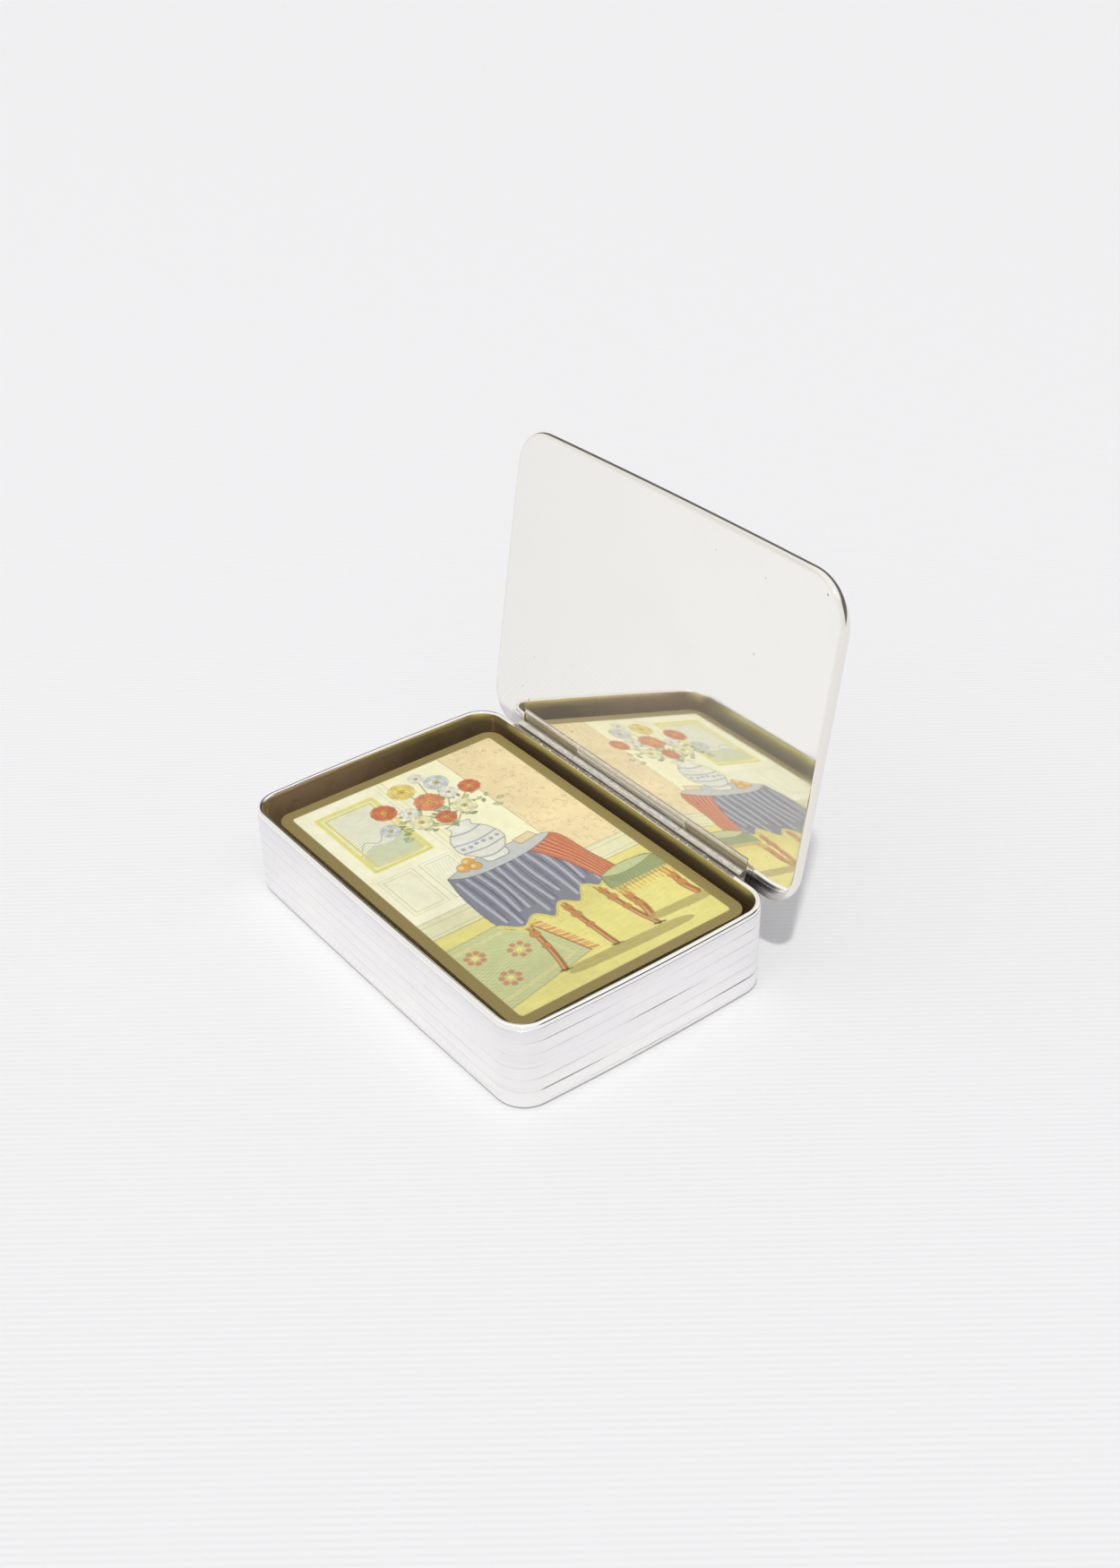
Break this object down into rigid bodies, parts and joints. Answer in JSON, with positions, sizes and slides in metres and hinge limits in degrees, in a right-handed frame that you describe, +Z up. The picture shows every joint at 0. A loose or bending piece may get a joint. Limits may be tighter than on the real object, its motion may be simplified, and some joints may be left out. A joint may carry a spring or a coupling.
{
  "type": "hinged card case",
  "caption": "Low rounded metal case with ribbed walls and a flat hinged lid that stands open, holding one pack of playing cards face up.",
  "frame": {"origin": "middle of the flat underside of the case", "axes": "+X along the hinge to the right end as seen from the front, +Y towards the hinge, +Z up"},
  "size_m": [0.101, 0.0805, 0.0876],
  "materials": {
    "silver_skin": "polished silver with a soft sheen",
    "mirror_plate": "mirror-polished silver",
    "polished_rim": "bright polished silver",
    "hinge_tube": "worn polished silver",
    "solder_strip": "dull, rough silver with tarnish",
    "pin_wire": "drawn wire",
    "gilt_bottom": "worn gilding, satin",
    "card_stock": "coated pasteboard, faintly yellowed edges",
    "picture_card": "coated pasteboard with a printed picture and a gilt border"
  },
  "bodies": {
    "case": {"base_plate": "gilt_bottom", "case_wall": "silver_skin", "rim_wire": "polished_rim", "case_hinge_leaf": "solder_strip", "knuckle_left": "hinge_tube", "knuckle_right": "hinge_tube", "hinge_pin": "pin_wire"},
    "lid": {"lid_shell": "silver_skin", "lid_inner_plate": "mirror_plate", "lid_hinge_leaf": "solder_strip", "knuckle_middle": "hinge_tube"},
    "lower_pack": {"cards_spades": "card_stock", "cards_hearts": "card_stock"},
    "upper_pack": {"cards_diamonds": "card_stock", "cards_clubs": "card_stock", "joker_card": "card_stock"},
    "picture_card": {"top_card": "picture_card"}
  },
  "joints": [
    {"name": "lid_hinge", "type": "hinge", "parent": "case", "child": "lid", "pos_m": [0, 0.0338, 0.0203], "axis": [-1, 0, 0], "range_deg": [-99, 0]},
    {"name": "lower_pack_lift", "type": "slide", "parent": "case", "child": "lower_pack", "axis": [0, 0, 1], "range_m": [0, 0.03]},
    {"name": "upper_pack_lift", "type": "slide", "parent": "lower_pack", "child": "upper_pack", "axis": [0, 0, 1], "range_m": [0, 0.03]},
    {"name": "picture_card_lift", "type": "slide", "parent": "upper_pack", "child": "picture_card", "axis": [0, 0, 1], "range_m": [0, 0.03]}
  ]
}
